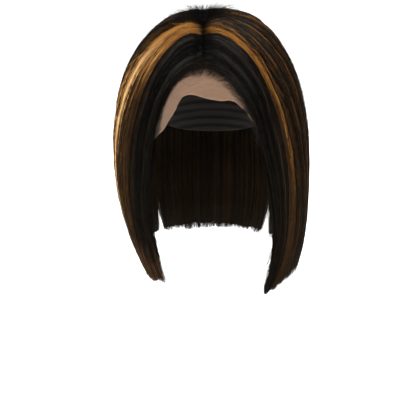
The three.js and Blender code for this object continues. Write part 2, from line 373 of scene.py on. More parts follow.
def map_range(tree, value, given, **values):
    n = node(tree, "ShaderNodeMapRange", **values)
    n.inputs["From Min"].default_value, n.inputs["From Max"].default_value = given
    tree.links.new(value, n.inputs["Value"])
    return n


def blend(tree, way, fade, before, after, kind="SMOOTHSTEP"):
    """A colour that turns from one into another over a range of ways along a strand."""
    share = map_range(tree, way, fade, interpolation_type=kind)
    blended = node(tree, "ShaderNodeMix", data_type="RGBA")
    tree.links.new(share.outputs["Result"], blended.inputs["Factor"])
    for key, colour in (("A", before), ("B", after)):
        if isinstance(colour, tuple):
            blended.inputs[key].default_value = colour
        else:
            tree.links.new(colour, blended.inputs[key])
    return blended.outputs["Result"]


def hair_material(name):
    """Colour by a strand's tone (u) and the way along it (v): painted shade at the root, painted sheen on
    dark hair near the parting, and a fine change from strand to strand.
    """
    m, tree, shader = new_material(name, roughness=0.36, specular=0.03)
    link = tree.links.new
    uv = node(tree, "ShaderNodeUVMap", uv_map=BAKE_MAP)
    split = node(tree, "ShaderNodeSeparateXYZ")
    link(uv.outputs["UV"], split.inputs["Vector"])
    by_tone = [ramp(tree, stops) for stops in (NEAR_COLOURS_AND_SHEEN, LENGTH_COLOURS, TIP_COLOURS)]
    for colours in by_tone:
        link(split.outputs["X"], colours.inputs["Fac"])
    near, length, tip = (colours.outputs["Color"] for colours in by_tone)
    way = split.outputs["Y"]
    # the painted sheen of dark hair near the parting gives way to the darker colours along the strand
    colour = blend(tree, way, NEAR_FADE, near, length)
    colour = blend(tree, way, LENGTH_FADE, colour, tip)
    # painted shade at the roots, in the parting
    colour = blend(tree, way, ROOT_SHADE_FADE, ROOT_SHADE_COLOUR, colour)
    colour = blend(tree, way, TIP_FADE, colour, LIGHT_TIP_COLOUR, "LINEAR")
    stretch = node(tree, "ShaderNodeMapping")
    stretch.inputs["Scale"].default_value = NOISE_SCALE
    link(uv.outputs["UV"], stretch.inputs["Vector"])
    noise = node(tree, "ShaderNodeTexNoise", Scale=1.0, Detail=2.0)
    link(stretch.outputs["Vector"], noise.inputs["Vector"])
    vary = map_range(tree, noise.outputs["Fac"], NOISE_RANGE)
    vary.inputs["To Min"].default_value, vary.inputs["To Max"].default_value = STRAND_SHADES
    scale = node(tree, "ShaderNodeVectorMath", operation="SCALE")
    link(colour, scale.inputs[0])
    link(vary.outputs["Result"], scale.inputs["Scale"])
    link(scale.outputs["Vector"], shader.inputs["Base Color"])
    return m


# Hair
# Ways along a strand where it has corners: closest near the parting, where it bends most
STATIONS = np.array([0, 0.015, 0.035, 0.065, 0.11, 0.17, 0.24, 0.32, 0.40, 0.49, 0.58, 0.68, 0.79, 0.9, 1])
FIXED_CORNERS, CORNER_JITTER = 0.1, 0.42  # way along beyond which corners move, and by what share of a step
UNDER_STEPS = 6  # steps of a strand on the underside, below the cap
UNDER_FROM = (0.42, 0.52)  # ways along where strands of the underside begin
LEAST_OVER_CAP = 0.7  # from the cap to the nearest strands
LEAST_ROW = 6.0  # least millimetres across a row of the section table

# Locks
LOCK_MM, STREAK_MM = 9.0, 1.4  # widths of the clumps that strands gather into, and of streaks of one tone
GATHER_OVER, SWAY_OVER = (0.3, 1.0), (0.15, 0.9)  # ways along over which strands gather and sway
STRAY_MM, BOW_MM, SWAY_MM = 0.9, 1.2, 1.1  # how far strands stray, bow and sway with their clump
LOOSE_SHARE, LOOSER = 0.05, 2.5  # share of loose strands, and how much further they stray
EDGE_STRAY = 1.2  # how far strands stray past the edges of their piece
TIP_RISE, LOCK_RISE, STRAND_RISE = 2.5, 3, 4.0  # by which tips are shorter: all, by lock and by strand
LONG_SHARE, SHORT_BY = 0.9, 34  # share of strands of full length, and how much shorter others may be
LOCK_RELIEF, STRIP_RELIEF = 1.2, 0.6  # heights of locks, and of strips within them
RELIEF_OVER = (0.03, 0.3)  # ways along over which these heights grow
ROOTED_TO = 0.09  # way along up to which strands rise from the cap
ROOT_SINK = 4  # how far strands rise from the cap beside the parting
ROOT_OVERLAP, ROOT_SPREAD = (-2.6, 0.8), 2.0  # of the roots, across the parting and along it
OUTER_RADII, UNDER_RADII = (0.17, 0.33), (0.22, 0.42)
OUTER_DEPTH = 4.0  # of the lowest strands of the outside, under it
OUTER_RAISED, OUTER_PROUD = 0.3, 1.2  # how far all of them are raised, and how far a few stand out
UNDER_DEPTH, UNDER_LOW = 3.5, 0.6  # how far strands of the underside lie within it, and below it
UNDER_TONE = 0.25  # their lightest tone

# Dense hair within the strands
CORE_STEP, CORE_ROWS = 3, 17  # millimetres between columns, and rows of corners
CORE_ALONG = (0.03, 0.985)  # ways along of the second row and the last
CORE_SHORTER = (2, 5)  # than the strands
CORE_DEPTH, CORE_SHARE = 3.6, 0.45  # under the outside: at most, and of the thickness of thin hair
CORE_ROOTED_TO = 0.12  # way along up to which it rises from the cap
CORE_LEAST, CORE_WALL = 1.5, 0.6  # least thickness of the hair, and of the wall within it
CORE_OUTER, CORE_INNER = 1.6, 0.9  # least heights of the wall's two sides over the cap
CORE_TONES = {"hair_black": 0.05, "hair_brown": 0.05, "hair_honey": 0.2}

# Hairline and short hairs
SPARSE_EDGE = 0.12  # share of a front piece, along the hairline, that is strands alone
THIN_HAIRLINE = 3.0  # how much further apart strands lie along the hairline
HAIRLINE_REACH = {"left": 4.5, "right": 10.0}  # how far short hairs stand in front of the hair
PART_REACH = 12.5  # the same beside the parting
HAIRLINE_END = 0.36  # way along the front edge where the short hairs end
PART_TO, PART_JITTER = 0.2, 3.5  # way along up to which they fan out from the parting, and how far
WISPS, WISP_RISE = 1050, 3.5  # number on a side, and how far they rise from the lace
WISP_LENGTHS, WISP_RADII = (8, 17), (0.06, 0.12)
WISP_BACK, WISP_ALONG = (0.45, 0.95), (0.9, 0.2)  # how they lie, far from the parting and beside it
WISP_TONES, LIGHT_WISPS = (0.05, 0.3), 0.15  # dark and light, and the share of light ones
WISP_WAY, WISP_WAYS = 0.2, 0.05  # ways along, as their colour follows them: the first, and their range
FLYAWAYS = 160  # stray hairs on a piece
CROWN_FROM = 4  # place behind which hair stands up in a tuft at the end of the parting
TUFT = dict(n=70, reach=0.07, rise=(3.0, 10.0), thick=(0.12, 0.22))

# Tones
ROUND_MM = (-60, 400)  # millimetres round a side that the random curves of its tones cover
DARK_SHARE, DARKER = 0.12, 0.35  # share of dark strands, and of the usual tone that they have
# Painted sheen and painted shade of dark locks: how much their tone goes up or down from lock to lock
LOCK_SHEEN_AND_SHADE = 0.6  # how much dark locks differ from each other in tone
DARK_TONES, LIGHT_TONES = (0.1, 0.3), (0.15, 0.35)  # over which strands and locks come to differ less
# In dark hair the wide spread lifts some strands into the grey painted sheen tones near the parting
DARK_SPREAD, LIGHT_SPREAD = 0.5, 0.16  # how much strands differ in tone, in dark hair and in light
STREAK_BLUR, STREAK_EDGES = 0.25, (0.94, 1.06)  # softness of a streak's edges: in millimetres, and by rank
FADE_WANDER, FADE_JITTER = 0.42, 0.06  # how much the fading differs by streak and by strand
SOONEST, LATEST = 0.55, -0.2  # limits of the fading
SOONER_OVER, LATER_OVER = (0.12, 0.45), (0.25, 0.6)  # ways along over which it comes sooner or later
START_JITTER, START_RAMP = 0.05, 0.12  # of the way along where a colour begins late, and of its rise there
UNSTARTED = 0.05  # share of the way along that counts before that
LIGHT_TIP_WAY = 0.125  # how far past LAST_WAY the colour of a light tip goes
LIGHT_TIP_OVER = (0.82, 0.98)  # ways along over which it does

# Looks of the strands by the place on a side: the tone of most of them, the share that lie in streaks of
# another tone, that tone, how much sooner their colour fades along them, and the way along where it begins
# A small begins (0.005 in front, 0.06 to 0.08 at the crown and back) stretches the painted shade at the
# roots further along the strands
LOOKS = {
    "left": np.array([
        # place, tone, streaks, streak tone, fade, begins
        # in front, streaks of tone 0.10 are grey painted sheen lines on the black hair
        (-1, 0.02, 0.30, 0.10, 0.10, 0.005),
        (0.45, 0.025, 0.30, 0.10, 0.10, 0.005),
        (0.7, 0.03, 0.40, 0.22, 0.10, 0.005),
        (0.93, 0.04, 0.44, 0.26, 0.10, 0.005),
        (1.0, 0.10, 0.38, 0.62, 0.40, 0),
        (1.2, 0.16, 0.52, 0.73, 0.43, 0),
        (1.6, 0.15, 0.56, 0.84, 0.44, 0),
        (1.9, 0.16, 0.56, 0.89, 0.36, 0),
        (2.1, 0.17, 0.62, 0.92, 0.16, 0),
        (2.3, 0.18, 0.66, 0.94, -0.12, 0),
        (2.5, 0.19, 0.68, 0.94, -0.20, 0),
        (2.62, 0.20, 0.68, 0.94, -0.20, 0),
        (2.72, 0.20, 0.70, 0.94, -0.20, 0.18),
        (2.84, 0.20, 0.70, 0.94, -0.20, 0.27),
        (3.05, 0.20, 0.70, 0.94, -0.20, 0.33),
        (3.25, 0.22, 0.54, 0.90, -0.16, 0.37),
        (3.45, 0.20, 0.34, 0.70, -0.06, 0.41),
        (3.65, 0.18, 0.24, 0.34, 0.0, 0.43),
        (3.75, 0.18, 0.24, 0.30, 0.0, 0.08),
        (4.2, 0.16, 0.28, 0.32, 0.04, 0.08),
        (7, 0.14, 0.30, 0.34, 0.0, 0.08),
    ]),
    "right": np.array([
        # in front, streaks of tone 0.10 to 0.11 are grey painted sheen lines on the black hair
        (-1, 0.02, 0.30, 0.10, 0.10, 0.005),
        (0.95, 0.03, 0.30, 0.11, 0.10, 0.005),
        (1.0, 0.12, 0.56, 0.58, 0.28, 0),
        (1.1, 0.14, 0.68, 0.63, 0.27, 0),
        (1.25, 0.14, 0.70, 0.64, 0.27, 0),
        (1.45, 0.14, 0.68, 0.66, 0.30, 0),
        (1.7, 0.15, 0.62, 0.65, 0.32, 0),
        (2.0, 0.14, 0.48, 0.57, 0.34, 0),
        (2.3, 0.125, 0.32, 0.47, 0.32, 0),
        (2.5, 0.12, 0.18, 0.42, 0.26, 0),
        (2.7, 0.12, 0.11, 0.38, 0.20, 0.06),
        (3.6, 0.13, 0.11, 0.38, 0.14, 0.08),
        (4.0, 0.16, 0.24, 0.48, 0.02, 0.08),
        (4.4, 0.13, 0.25, 0.36, 0.10, 0.08),
        (7, 0.14, 0.30, 0.34, 0.0, 0.08),
    ]),
}
LIGHT_TIPS = {"left": ((2.5, 1), (3.6, 0.3)), "right": ((0, 0.1), (7, 0.1))}  # place, share of light tips


# Pieces of hair: the places they run between at the parting and at their tips, their strands on the outside
# and on the underside, and how far these gather into clumps
Piece = namedtuple("Piece", "node slot side root tip outer under gather")
PIECES = [
    Piece("hair_front_left", "hair_black", "left", (0, 1), (0, 1), 720, 250, 0.28),
    Piece("highlight_left", "hair_honey", "left", (1, 3), (1, 3), 1150, 300, 0.28),
    Piece("hair_side_left", "hair_brown", "left", (3, 5.25), (3, 5.12), 1200, 550, 0.28),
    Piece("hair_back_left", "hair_brown", "left", (5.25, 7), (5.5, 7), 720, 600, 0.12),
    Piece("hair_front_right", "hair_black", "right", (0, 1), (0, 1), 720, 200, 0.28),
    Piece("highlight_right", "hair_honey", "right", (1, 2), (1, 2), 780, 230, 0.28),
    Piece("hair_side_right", "hair_brown", "right", (2, 5.25), (2, 5.12), 1450, 700, 0.28),
    Piece("hair_back_right", "hair_brown", "right", (5.25, 7), (5.58, 7), 720, 600, 0.12),
]
HAIR = {slot: hair_material(slot + "_strands") for slot in ("hair_black", "hair_brown", "hair_honey")}


def is_front(piece):
    return piece.root[0] == 0


def stations(n, rng):
    """Ways along n strands where they have corners, a little different on each."""
    gaps = np.diff(STATIONS)
    room = np.minimum(gaps[:-1], gaps[1:]) * (STATIONS[1:-1] > FIXED_CORNERS)
    along = np.tile(STATIONS, (n, 1))
    along[:, 1:-1] += CORNER_JITTER * room * rng.uniform(-1, 1, (n, len(room)))
    return along


def across(side, place):
    """Millimetres round the hair from a side's front edge to a place, at its widest."""
    steps = np.linspace(-1, 8, 181)
    edge = section(side, steps)[:, 3:6]
    run = np.concatenate([[0], np.cumsum(np.linalg.norm(np.diff(edge, axis=0), axis=1))])
    return np.interp(place, steps, run)


def full_width(piece):
    return across(piece.side, piece.root[1]) - across(piece.side, piece.root[0])


def ranges(piece, along):
    """Places where a piece of hair begins and ends, along its locks."""
    split = smoothstep(along, SPLIT_FROM, SPLIT_TO)
    return tuple(mix(piece.root[k], piece.tip[k], split) for k in (0, 1))


def row_width(piece, along):
    """Millimetres across a row of the section table within a piece, along its locks."""
    first, last = piece.root
    ways = np.linspace(0, 1, 41)
    p = hair_surface(piece.side, np.linspace(first, last, 9)[:, None], ways[None])
    width = np.linalg.norm(np.diff(p, axis=0), axis=-1).sum(0) / (last - first)
    return np.maximum(LEAST_ROW, np.interp(along, ways, width))


def strand_paths(piece, q, along, depth, rng, wander):
    """Paths of strands at shares q across a piece, under the outside by depth, as they run along [n, m]."""
    n, side = len(q), piece.side
    low, high = ranges(piece, along)
    per_row = row_width(piece, along)
    place = mix(low, high, q[:, None])
    # Strands gather into clumps towards their tips, and stray a little from them
    clumps = max(2, round(full_width(piece) / LOCK_MM))
    clump = np.clip(np.round(q * clumps + 0.5 * wander["clump"](8 * q)), 0, clumps)
    middle = mix(low, high, clump[:, None] / clumps)
    place = mix(place, middle, piece.gather * smoothstep(along, *GATHER_OVER))
    stray = rng.normal(0, 1, (n, 2))
    loose = 1 + LOOSER * (rng.random((n, 1)) < LOOSE_SHARE)
    stray_mm = loose * (STRAY_MM * stray[:, :1] * along + BOW_MM * stray[:, 1:] * (along - 0.5) ** 2)
    sway_mm = SWAY_MM * np.sin(2.4 * clump)[:, None] * np.sin(3.1 * along + clump[:, None])
    place = place + (stray_mm + sway_mm * smoothstep(along, *SWAY_OVER)) / per_row
    place = np.clip(place, low - EDGE_STRAY / per_row, high + EDGE_STRAY / per_row)
    # Lengths differ from lock to lock and from strand to strand
    rise = TIP_RISE + LOCK_RISE * wander["tips"](place[:, -1]) + np.abs(rng.normal(0, STRAND_RISE, n))
    rise = np.maximum(0, rise + SHORT_BY * (rng.random(n) > LONG_SHARE) * rng.random(n))
    p = hair_surface(side, place, along, rise[:, None])
    out = outward(p.copy())
    home = mix(*piece.root, q)
    relief = LOCK_RELIEF * wander["locks"](home) + STRIP_RELIEF * wander["strips"](home)
    relief = relief[:, None] * smoothstep(along, *RELIEF_OVER)
    rooted = 1 - smoothstep(along, 0, ROOTED_TO)
    p = p + out * (relief - depth - ROOT_SINK * rooted)[..., None]
    sign = -1 if side == "left" else 1
    p[..., 0] += sign * rooted * rng.uniform(*ROOT_OVERLAP, (n, 1))
    p[..., 1] += rooted * rng.normal(0, ROOT_SPREAD, (n, 1))
    return pushed_out(p, CAP_WALL + LEAST_OVER_CAP), home


def looks_at(side, place):
    table = LOOKS[side]
    return [np.interp(place, table[:, 0], column) for column in table[:, 1:].T]


def tones_of(side, home, rng, wander):
    """A tone for each strand, that of the streak it lies in or of the hair around it, with painted sheen
    and painted shade in bands from lock to lock in dark hair.
    """
    n = len(home)
    where = across(side, home)
    tone, streaks, streak_tone, _, _ = looks_at(side, home)
    rank = wander["streaks"].rank(where + STREAK_BLUR * rng.normal(0, 1, n))
    tone = mix(tone, streak_tone, smoothstep(rank, STREAK_EDGES[0] - streaks, STREAK_EDGES[1] - streaks))
    # painted sheen and painted shade: dark locks are made lighter or darker in bands
    painted_band = 1 + LOCK_SHEEN_AND_SHADE * wander["painted_bands"](where) * (1 - smoothstep(tone, *LIGHT_TONES))
    spread = mix(DARK_SPREAD, LIGHT_SPREAD, smoothstep(tone, *DARK_TONES))
    tone = painted_band * tone * (1 + spread * rng.normal(0, 1, n))
    dark = rng.random(n) < DARK_SHARE
    return np.clip(np.where(dark, DARKER * tone, tone), 0.01, 0.99)


def colour_way(side, home, along, rng, wander):
    """The way along a strand as its colour follows it, up to LAST_WAY, or beyond it for a light tip."""
    n = len(home)
    fade, begins = looks_at(side, home)[3:]
    fade = fade + FADE_WANDER * wander["fades"](across(side, home)) + FADE_JITTER * rng.normal(0, 1, n)
    starts = begins[:, None] + rng.uniform(-START_JITTER, START_JITTER, (n, 1))
    begun = smoothstep(along, starts, starts + START_RAMP)
    # until its colour begins, a strand keeps a small way along, and with it the near black of the painted
    # root shade
    way = along * mix(UNSTARTED, 1, np.where(begins[:, None] > 0, begun, 1))
    sooner, later = np.clip(fade, 0, SOONEST)[:, None], np.clip(fade, LATEST, 0)[:, None]
    way = way + sooner * smoothstep(along, *SOONER_OVER) + later * smoothstep(along, *LATER_OVER)
    light = np.interp(home, *np.array(LIGHT_TIPS[side]).T) * np.clip(rng.normal(0.5, 0.5, n), 0, 1)
    return np.minimum(LAST_WAY, way) + LIGHT_TIP_WAY * light[:, None] * smoothstep(along, *LIGHT_TIP_OVER)


def taper(along):
    return mix(0.7, 1, smoothstep(along, 0, 0.08)) * mix(1, 0.3, smoothstep(along, 0.85, 1))


def laid_on(p, grow):
    """Points moved towards or away from the cap's centre onto its grown form."""
    centre = np.array([0, 0, WIDEST_Z])
    d = p - centre
    reach = np.where(d[..., 2] > 0, CROWN_HEIGHT, NAPE_REACH) + grow
    level = (d[..., 0] / (CAP_HALF_WIDTH + grow)) ** 2 + (d[..., 1] / (CAP_HALF_DEPTH + grow)) ** 2
    size = np.sqrt(level + (d[..., 2] / reach) ** 2)
    return centre + d / size[..., None]


def add_outside(made, piece, rng, wander):
    """Strands from the parting to the tips."""
    n, side = piece.outer, piece.side
    q = (np.arange(n) + rng.random(n)) / n
    if is_front(piece):
        q = q + THIN_HAIRLINE * q * (1 - q) ** 4
    along = stations(n, rng)
    depth = OUTER_DEPTH * rng.random((n, 1)) ** 1.5 - OUTER_RAISED - OUTER_PROUD * rng.random((n, 1)) ** 8
    path, home = strand_paths(piece, q, along, depth, rng, wander)
    radius = rng.uniform(*OUTER_RADII, (n, 1)) * taper(along)
    made.add(path, radius, tones_of(side, home, rng, wander), colour_way(side, home, along, rng, wander))


def add_underside(made, piece, rng, wander):
    """Strands from the cap's rim to the tips, on the side of the neck."""
    n, side = piece.under, piece.side
    q = (np.arange(n) + rng.random(n)) / n
    along = mix(rng.uniform(*UNDER_FROM, (n, 1)), 1.0, np.linspace(0, 1, UNDER_STEPS + 1)[None])
    thick = hair_thickness(side, mix(*piece.root, q)[:, None], along)
    depth = thick - UNDER_DEPTH * rng.random((n, 1)) ** 2 + UNDER_LOW
    path, home = strand_paths(piece, q, along, depth, rng, wander)
    radius = rng.uniform(*UNDER_RADII, (n, 1)) * taper(along)
    tone = np.minimum(UNDER_TONE, tones_of(side, home, rng, wander))
    made.add(path, radius, tone, np.minimum(LAST_WAY, along))


def add_core(made, piece, rng):
    """A wall of dense hair between the strands of the outside and of the underside."""
    side, columns = piece.side, max(8, round(full_width(piece) / CORE_STEP))
    along = np.concatenate([[0], np.linspace(*CORE_ALONG, CORE_ROWS - 1)])
    low, high = ranges(piece, along)
    shares = np.linspace(SPARSE_EDGE if is_front(piece) else 0, 1, columns)
    place = mix(low[None], high[None], shares[:, None])
    p = hair_surface(side, place, along[None], rng.uniform(*CORE_SHORTER, (columns, 1)))
    p[:, 0, 0] = PART_X
    out = outward(p.copy())
    thick = np.maximum(hair_thickness(side, place, along[None]), CORE_LEAST)
    rooted = 1 - smoothstep(along, 0.0, CORE_ROOTED_TO)
    sunk = np.minimum(CORE_DEPTH, CORE_SHARE * thick) + ROOT_SINK * rooted
    deep = np.maximum(thick - CORE_LEAST, sunk + CORE_WALL)
    outer = pushed_out(p - out * sunk[..., None], CAP_WALL + CORE_OUTER)
    inner = pushed_out(p - out * deep[..., None], CAP_WALL + CORE_INNER)
    made.add_wall(outer, inner, CORE_TONES[piece.slot], np.minimum(LAST_WAY, along))


def add_wisps(made, side, rng):
    """Short fine hairs along the front edge, planted in the lace and combed back into the hair."""
    n = WISPS
    steps = np.linspace(0, 1, 5)[None]
    a = HAIRLINE_END * rng.random((n, 1)) ** 1.1
    edge = hair_surface(side, 0.0, a)
    ahead = hair_surface(side, 0.0, a + 0.02) - edge
    ahead /= np.linalg.norm(ahead, axis=-1, keepdims=True)
    back = hair_surface(side, 0.2, a) - edge
    back -= ahead * np.sum(back * ahead, -1, keepdims=True)
    back /= np.linalg.norm(back, axis=-1, keepdims=True)
    near_part = 1 - smoothstep(a, 0.0, PART_TO)
    start = -mix(HAIRLINE_REACH[side], PART_REACH, near_part) * rng.random((n, 1)) ** 1.6 + 2
    length = rng.uniform(*WISP_LENGTHS, (n, 1))
    go_back = start + length * steps * mix(*WISP_BACK, near_part)
    bend = 2.0 * steps ** 2 * rng.normal(0, 1, (n, 1))
    go_along = length * steps * mix(*WISP_ALONG, near_part) + bend
    p = edge + back * go_back[..., None] + ahead * go_along[..., None]
    p[..., 0] += PART_JITTER * near_part ** 2 * rng.normal(0, 1, (n, 1))
    p = laid_on(p, LACE_WALL + 0.2 + (WISP_RISE * steps + rng.uniform(0, 0.6, (n, 1))))
    radius = rng.uniform(*WISP_RADII, (n, 1)) * mix(0.6, 1, steps)
    dark, light = WISP_TONES
    tone = np.where(rng.random(n) < LIGHT_WISPS, light, dark)
    made.add(p, radius, tone, WISP_WAY + WISP_WAYS * steps * np.ones((n, 1)))


def add_flyaways(made, piece, rng, wander, n=FLYAWAYS, reach=0.5, rise=(1.5, 7.0), thick=(0.09, 0.17)):
    """Short hairs that stand off the outside, most of them near the parting."""
    side, steps = piece.side, np.linspace(0, 1, 6)[None]
    place = rng.uniform(*piece.root, (n, 1)) + 0.1 * rng.normal(0, 1, (n, 1)) * steps
    a = reach * rng.random((n, 1)) ** 2.2
    along = a + rng.uniform(0.05, 0.13, (n, 1)) * steps
    p = hair_surface(side, np.clip(place, *piece.root), along)
    out = outward(p.copy())
    rises = rng.uniform(*rise, (n, 1)) * steps ** 1.5 - 0.8
    p = p + out * rises[..., None]
    p += rng.normal(0, 1.3, (n, 1, 3)) * steps[..., None] ** 2
    radius = rng.uniform(*thick, (n, 1)) * mix(1, 0.5, steps)
    home = place[:, 0]
    made.add(p, radius, tones_of(side, home, rng, wander), colour_way(side, home, along, rng, wander))


def hair_piece(piece, number):
    """A piece of hair as one mesh, in place of its solid."""
    rng = np.random.default_rng([SEED, number])
    wander = {
        "clump": Wander(rng, 0.7),
        "tips": Wander(rng, 0.3),
        "locks": Wander(rng, 0.3),
        "strips": Wander(rng, 0.09),
        "streaks": Wander(rng, STREAK_MM, *ROUND_MM),
        "fades": Wander(rng, 1.5 * STREAK_MM, *ROUND_MM),
        # bands of painted sheen and painted shade across dark locks
        "painted_bands": Wander(np.random.default_rng([SEED, number, 1]), 0.4 * LOCK_MM, *ROUND_MM),
    }
    made = Fibres()
    add_outside(made, piece, rng, wander)
    add_underside(made, piece, rng, wander)
    add_core(made, piece, rng)
    add_flyaways(made, piece, rng, wander)
    if is_front(piece):
        add_wisps(made, piece.side, rng)
    if piece.root[1] > CROWN_FROM:
        add_flyaways(made, piece, rng, wander, **TUFT)
    obj = made.build(piece.node + "_strands")
    obj.data.materials.append(HAIR[piece.slot])
    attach(obj, "root")
    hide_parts(piece.node)


for number, piece in enumerate(PIECES):
    hair_piece(piece, number)


# Lace and cap
def on_form(angle, slope, grow):
    """Points on the cap's form at an angle from straight ahead and a slope from the crown (0)."""
    reach = np.where(slope < math.pi / 2, CROWN_HEIGHT, NAPE_REACH) + grow
    radius = np.sin(slope) / np.hypot(
        np.sin(angle) / (CAP_HALF_WIDTH + grow), np.cos(angle) / (CAP_HALF_DEPTH + grow)
    )
    return np.stack(
        [radius * np.sin(angle), -radius * np.cos(angle), WIDEST_Z + reach * np.cos(slope)], -1
    )


def slope_at(z):
    up = (z - WIDEST_Z) / np.where(z > WIDEST_Z, CROWN_HEIGHT, NAPE_REACH)
    return np.arccos(np.clip(up, -1, 1))


def rim_height(table, degrees, rounding):
    """Heights of a rim at angles from straight ahead, with corners rounded over some degrees each way."""
    spread = np.linspace(-rounding, rounding, 9)
    return np.mean([np.interp(degrees + d, *table.T) for d in spread], axis=0)


def grid_faces(columns, rows, start=0):
    at = start + np.arange(columns * rows).reshape(columns, rows)
    return np.stack([at[:-1, :-1], at[:-1, 1:], at[1:, 1:], at[1:, :-1]], -1).reshape(-1, 4)


# Where the net begins under the hair, by the angle from straight ahead
NET_FROM = np.array([
    (-90, -70), (-60, -78), (-38, -62), (-32, -46), (-26, -34), (-19, -27), (-8, -23), (0, -24), (8, -30),
    (14, -38), (20, -50), (28, -76), (60, -80), (90, -70),
])
NET_PITCH, NET_HOLE = 1.35, 0.5  # between holes, and a hole's share of its cell
NET_OVERLAP = 1.5  # of the net and the close lace above it
NET_ROWS, NET_COLUMNS = 260, 110  # of the lattice, which reaches past the lace: down, and to each side
SAME_CORNER = 0.02  # within which corners of neighbouring cells are one
CLOSE_COLUMNS, CLOSE_ROWS, RIM_COLUMNS = 73, 15, 359
CLOSE_LIFT, NET_LIFT, RIM_LIFT = 0.45, 0.5, 0.55  # heights over the head within the lace's wall
TOP_GAP = 0.004  # share of a run down from the crown that stays open round the very top
LACE_ROUNDING, CAP_ROUNDING = 1.5, 10.0  # degrees
RIM_THREADS = 1.0  # width of the close threads along the lace's cut edge
SEAM_SHIFT = 0.15  # half the gap between the lace and the cap
LACE_ARC = 88.0  # radius that turns millimetres round the front into an angle


def net_cells():
    """Middles of the net's cells, in millimetres round the front (u) and down from the crown (v)."""
    j, i = np.meshgrid(np.arange(NET_ROWS), np.arange(-NET_COLUMNS, NET_COLUMNS + 1), indexing="ij")
    u = (i + 0.5 * (j % 2)) * NET_PITCH
    v = j * (NET_PITCH * math.sqrt(3) / 2)
    z = on_form(u / LACE_ARC, v / LACE_ARC, NET_LIFT)[..., 2]
    degrees = np.degrees(u / LACE_ARC)
    edge = rim_height(LACE_RIM, degrees, LACE_ROUNDING)
    begin = np.interp(degrees, *NET_FROM.T) + NET_OVERLAP
    keep = (z < begin) & (z > edge + 0.5) & (np.abs(degrees) < 89)
    return np.stack([u[keep], v[keep]], -1)


def lace_net():
    """A panel of lace: close under the hair, and a net of six-sided holes in front of it."""
    degrees = np.linspace(-90, 90, CLOSE_COLUMNS)
    top = slope_at(np.interp(degrees, *NET_FROM.T))
    slope = np.linspace(TOP_GAP, 1, CLOSE_ROWS)[None] * top[:, None]
    verts = [on_form(np.radians(degrees)[:, None], slope, CLOSE_LIFT).reshape(-1, 3)]
    faces = [grid_faces(CLOSE_COLUMNS, CLOSE_ROWS)]
    count = len(verts[0])
    # Net: a ring of six quads round each hole
    cells = net_cells()
    corners = np.radians(30 + 60 * np.arange(6))
    ring = np.stack([np.cos(corners), np.sin(corners)], -1) * (NET_PITCH / math.sqrt(3))
    outer = cells[:, None] + ring
    inner = cells[:, None] + NET_HOLE * ring
    keys = np.round(outer.reshape(-1, 2) / SAME_CORNER).astype(int)
    keys, inverse = np.unique(keys, axis=0, return_inverse=True)
    flat = np.concatenate([keys * SAME_CORNER, inner.reshape(-1, 2)])
    verts.append(on_form(flat[:, 0] / LACE_ARC, flat[:, 1] / LACE_ARC, NET_LIFT))
    o = count + inverse.reshape(-1, 6)
    k = count + len(keys) + np.arange(len(cells) * 6).reshape(-1, 6)
    faces.append(np.stack([o, np.roll(o, -1, 1), np.roll(k, -1, 1), k], -1).reshape(-1, 4))
    count += len(flat)
    # Threads along the cut edge
    degrees = np.linspace(-89.5, 89.5, RIM_COLUMNS)
    rim = slope_at(rim_height(LACE_RIM, degrees, LACE_ROUNDING))
    band = rim[:, None] - np.array([0.0, 0.5, 1.0]) * RIM_THREADS / LACE_ARC
    verts.append(on_form(np.radians(degrees)[:, None], band, RIM_LIFT).reshape(-1, 3))
    faces.append(grid_faces(RIM_COLUMNS, 3, count))
    points = np.concatenate(verts)
    points[:, 1] -= SEAM_SHIFT
    return new_object("lace_net", points, np.concatenate(faces))


def lace_material():
    m, tree, shader = new_material("lace_tan", roughness=0.8, specular=0.25, sheen=0.3)
    link = tree.links.new
    where = node(tree, "ShaderNodeTexCoord")
    noise = node(tree, "ShaderNodeTexNoise", Scale=90.0, Detail=4.0)
    link(where.outputs["Object"], noise.inputs["Vector"])
    tint = ramp(tree, [(0.3, (0.138, 0.079, 0.047)), (0.7, (0.162, 0.093, 0.055))])
    link(noise.outputs["Fac"], tint.inputs["Fac"])
    link(tint.outputs["Color"], shader.inputs["Base Color"])
    cells = node(tree, "ShaderNodeTexVoronoi", Scale=900.0)
    link(where.outputs["Object"], cells.inputs["Vector"])
    bump = node(tree, "ShaderNodeBump", Strength=0.35, Distance=0.0002)
    link(cells.outputs["Distance"], bump.inputs["Height"])
    link(bump.outputs["Normal"], shader.inputs["Normal"])
    return m


lace = lace_net()
lace.data.materials.append(lace_material())
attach(lace, "root")
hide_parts("lace_front")

WEFT_STEP, WEFT_ROWS = 9.0, 18  # of the rows of sewn hair inside the cap: between them, and their number
WEFT_PARTS = 4  # steps of the inside for each row: two along its track and two between tracks
TRACK_HEIGHT = 0.75
CAP_INSIDE, CAP_COLUMNS = 0.75, 61


